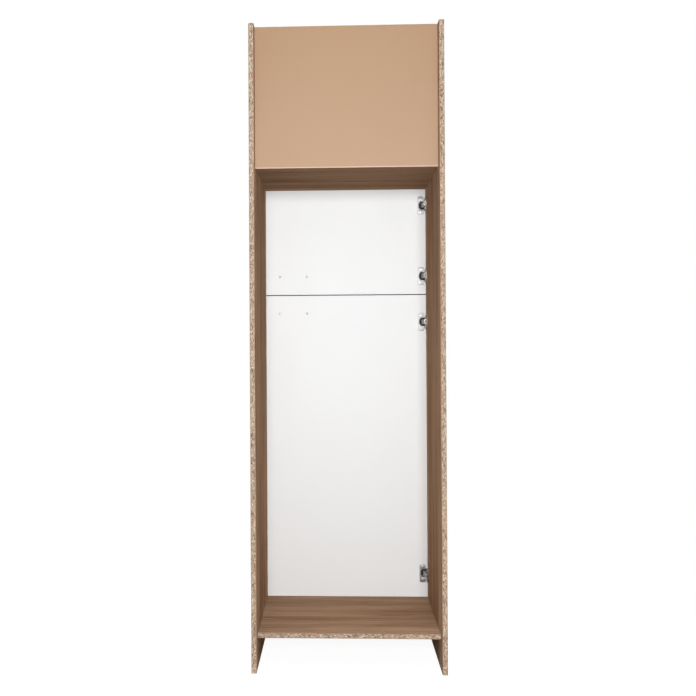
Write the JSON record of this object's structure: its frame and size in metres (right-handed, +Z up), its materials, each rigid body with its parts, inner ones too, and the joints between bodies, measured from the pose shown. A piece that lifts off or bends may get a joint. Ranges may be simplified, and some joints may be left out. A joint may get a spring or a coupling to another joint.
{
  "type": "fridge housing unit",
  "caption": "Tall kitchen housing unit for a built-in fridge-freezer: open-backed wood-effect carcass with a top cupboard and white overlay doors on concealed hinges.",
  "frame": {"origin": "on the floor under the centre of the unit's bounding box, doors closed and handles included", "axes": "+Z up, -Y towards the user in front of the doors, +Y towards the wall behind, -X the hinge side"},
  "size_m": [0.6, 0.6044, 2],
  "materials": {
    "oak_board": "melamine-faced chipboard, light oak pattern, raw speckled rear edges",
    "hardboard": "smooth printed hardboard, light brown",
    "white_door": "white faced board with matching edges, semi-matte",
    "beech_dowel": "raw beech",
    "nickel_plate": "nickel-plated pressed steel",
    "bright_steel": "zinc-plated steel",
    "handle_nickel": "satin nickel"
  },
  "bodies": {
    "carcass": {"side_panel_left": "oak_board", "side_panel_right": "oak_board", "bottom_panel": "oak_board", "fixed_shelf": "oak_board", "top_panel": "oak_board", "back_panel": "hardboard", "plinth_panel": "oak_board", "dowel_bottom_left_front": "beech_dowel", "dowel_bottom_left_rear": "beech_dowel", "dowel_bottom_right_front": "beech_dowel", "dowel_bottom_right_rear": "beech_dowel", "dowel_shelf_left_front": "beech_dowel", "dowel_shelf_left_rear": "beech_dowel", "dowel_shelf_right_front": "beech_dowel", "dowel_shelf_right_rear": "beech_dowel", "hinge_plate_fridge_lower": "nickel_plate", "hinge_arm_fridge_lower": "nickel_plate", "hinge_plate_fridge_upper": "nickel_plate", "hinge_arm_fridge_upper": "nickel_plate", "hinge_plate_freezer_lower": "nickel_plate", "hinge_arm_freezer_lower": "nickel_plate", "hinge_plate_freezer_upper": "nickel_plate", "hinge_arm_freezer_upper": "nickel_plate", "hinge_plate_top_lower": "nickel_plate", "hinge_arm_top_lower": "nickel_plate", "hinge_plate_top_upper": "nickel_plate", "hinge_arm_top_upper": "nickel_plate"},
    "door_fridge": {"door_fridge": "white_door", "hinge_cup_fridge_lower": "nickel_plate", "hinge_cup_fridge_upper": "nickel_plate", "handle_fridge": "handle_nickel", "handle_screw_fridge_inner": "bright_steel", "handle_screw_fridge_outer": "bright_steel"},
    "door_freezer": {"door_freezer": "white_door", "hinge_cup_freezer_lower": "nickel_plate", "hinge_cup_freezer_upper": "nickel_plate", "handle_freezer": "handle_nickel", "handle_screw_freezer_inner": "bright_steel", "handle_screw_freezer_outer": "bright_steel"},
    "door_top": {"door_top": "white_door", "hinge_cup_top_lower": "nickel_plate", "hinge_cup_top_upper": "nickel_plate", "handle_top": "handle_nickel", "handle_screw_top_inner": "bright_steel", "handle_screw_top_outer": "bright_steel"},
    "inner_links_fridge": {"hinge_inner_link_fridge_lower": "bright_steel", "hinge_inner_link_fridge_upper": "bright_steel"},
    "outer_links_fridge": {"hinge_outer_link_fridge_lower": "bright_steel", "hinge_outer_link_fridge_upper": "bright_steel"},
    "inner_links_freezer": {"hinge_inner_link_freezer_lower": "bright_steel", "hinge_inner_link_freezer_upper": "bright_steel"},
    "outer_links_freezer": {"hinge_outer_link_freezer_lower": "bright_steel", "hinge_outer_link_freezer_upper": "bright_steel"},
    "inner_links_top": {"hinge_inner_link_top_lower": "bright_steel", "hinge_inner_link_top_upper": "bright_steel"},
    "outer_links_top": {"hinge_outer_link_top_lower": "bright_steel", "hinge_outer_link_top_upper": "bright_steel"}
  },
  "joints": [
    {"name": "door_fridge_hinge", "type": "hinge", "parent": "carcass", "child": "door_fridge", "pos_m": [-0.2913, -0.26475, 0.64075], "axis": [0, 0, -1], "range_deg": [0, 95]},
    {"name": "inner_links_fridge_pivot", "type": "hinge", "parent": "carcass", "child": "inner_links_fridge", "pos_m": [-0.27193, -0.26252, 0.64075], "axis": [0, 0, -1], "range_deg": [-25.41, 0]},
    {"name": "outer_links_fridge_pivot", "type": "hinge", "parent": "door_fridge", "child": "outer_links_fridge", "pos_m": [-0.2892, -0.25565, 0.64075], "axis": [0, 0, -1], "range_deg": [-153.93, 0]},
    {"name": "door_freezer_hinge", "type": "hinge", "parent": "carcass", "child": "door_freezer", "pos_m": [-0.2913, -0.26475, 1.375], "axis": [0, 0, -1], "range_deg": [0, 95]},
    {"name": "inner_links_freezer_pivot", "type": "hinge", "parent": "carcass", "child": "inner_links_freezer", "pos_m": [-0.27193, -0.26252, 1.375], "axis": [0, 0, -1], "range_deg": [-25.41, 0]},
    {"name": "outer_links_freezer_pivot", "type": "hinge", "parent": "door_freezer", "child": "outer_links_freezer", "pos_m": [-0.2892, -0.25565, 1.375], "axis": [0, 0, -1], "range_deg": [-153.93, 0]},
    {"name": "door_top_hinge", "type": "hinge", "parent": "carcass", "child": "door_top", "pos_m": [-0.2913, -0.26475, 1.78275], "axis": [0, 0, -1], "range_deg": [0, 95]},
    {"name": "inner_links_top_pivot", "type": "hinge", "parent": "carcass", "child": "inner_links_top", "pos_m": [-0.27193, -0.26252, 1.78275], "axis": [0, 0, -1], "range_deg": [-25.41, 0]},
    {"name": "outer_links_top_pivot", "type": "hinge", "parent": "door_top", "child": "outer_links_top", "pos_m": [-0.2892, -0.25565, 1.78275], "axis": [0, 0, -1], "range_deg": [-153.93, 0]}
  ],
  "couplings": [
    {"joint": "inner_links_fridge_pivot", "follows": "door_fridge_hinge", "ratio": -0.26739},
    {"joint": "outer_links_fridge_pivot", "follows": "door_fridge_hinge", "ratio": -1.6202},
    {"joint": "inner_links_freezer_pivot", "follows": "door_freezer_hinge", "ratio": -0.26739},
    {"joint": "outer_links_freezer_pivot", "follows": "door_freezer_hinge", "ratio": -1.6202},
    {"joint": "inner_links_top_pivot", "follows": "door_top_hinge", "ratio": -0.26739},
    {"joint": "outer_links_top_pivot", "follows": "door_top_hinge", "ratio": -1.6202}
  ]
}
